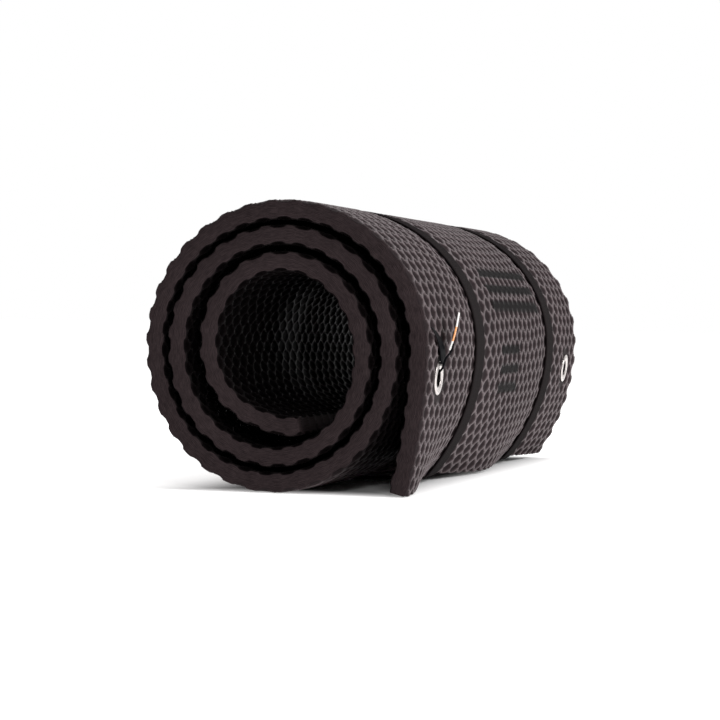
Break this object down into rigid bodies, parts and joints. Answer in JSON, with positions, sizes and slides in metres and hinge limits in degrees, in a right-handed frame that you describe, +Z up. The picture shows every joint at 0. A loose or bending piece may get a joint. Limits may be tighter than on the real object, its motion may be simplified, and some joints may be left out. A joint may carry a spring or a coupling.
{
  "type": "rolled exercise mat",
  "caption": "Thick textured foam exercise mat wound into a roll around an open core, held by elastic bands, with eyelets in its hanging loose end and a card tag.",
  "frame": {"origin": "on the ground, under the middle of the whole object's box", "axes": "+Y along the roll's axis, away from the end with the tag; +X towards the hanging loose end; +Z up"},
  "size_m": [0.2254, 0.6, 0.2134],
  "materials": {
    "foam": "matte embossed closed-cell foam",
    "elastic": "matte woven",
    "eyelet_metal": "bright plated",
    "card": "coated card",
    "tie": "satin"
  },
  "bodies": {
    "mat": {"mat_sheet": "foam", "eyelet_near": "eyelet_metal", "eyelet_far": "eyelet_metal", "washer_near": "eyelet_metal", "washer_far": "eyelet_metal"},
    "near_band": {"band_near": "elastic"},
    "far_band": {"band_far": "elastic"},
    "tag": {"tag_card": "card", "tag_tie": "tie"}
  },
  "joints": [
    {"name": "near_band_slide", "type": "slide", "parent": "mat", "child": "near_band", "axis": [0, -1, 0], "range_m": [0, 0.19], "deforming": ["band_near"]},
    {"name": "far_band_slide", "type": "slide", "parent": "mat", "child": "far_band", "axis": [0, 1, 0], "range_m": [0, 0.14], "deforming": ["band_far"]},
    {"name": "tag_swing", "type": "hinge", "parent": "mat", "child": "tag", "pos_m": [0.09262, -0.256, 0.08577], "axis": [0.9978, 0, -0.0664], "range_deg": [-100, 100]}
  ]
}
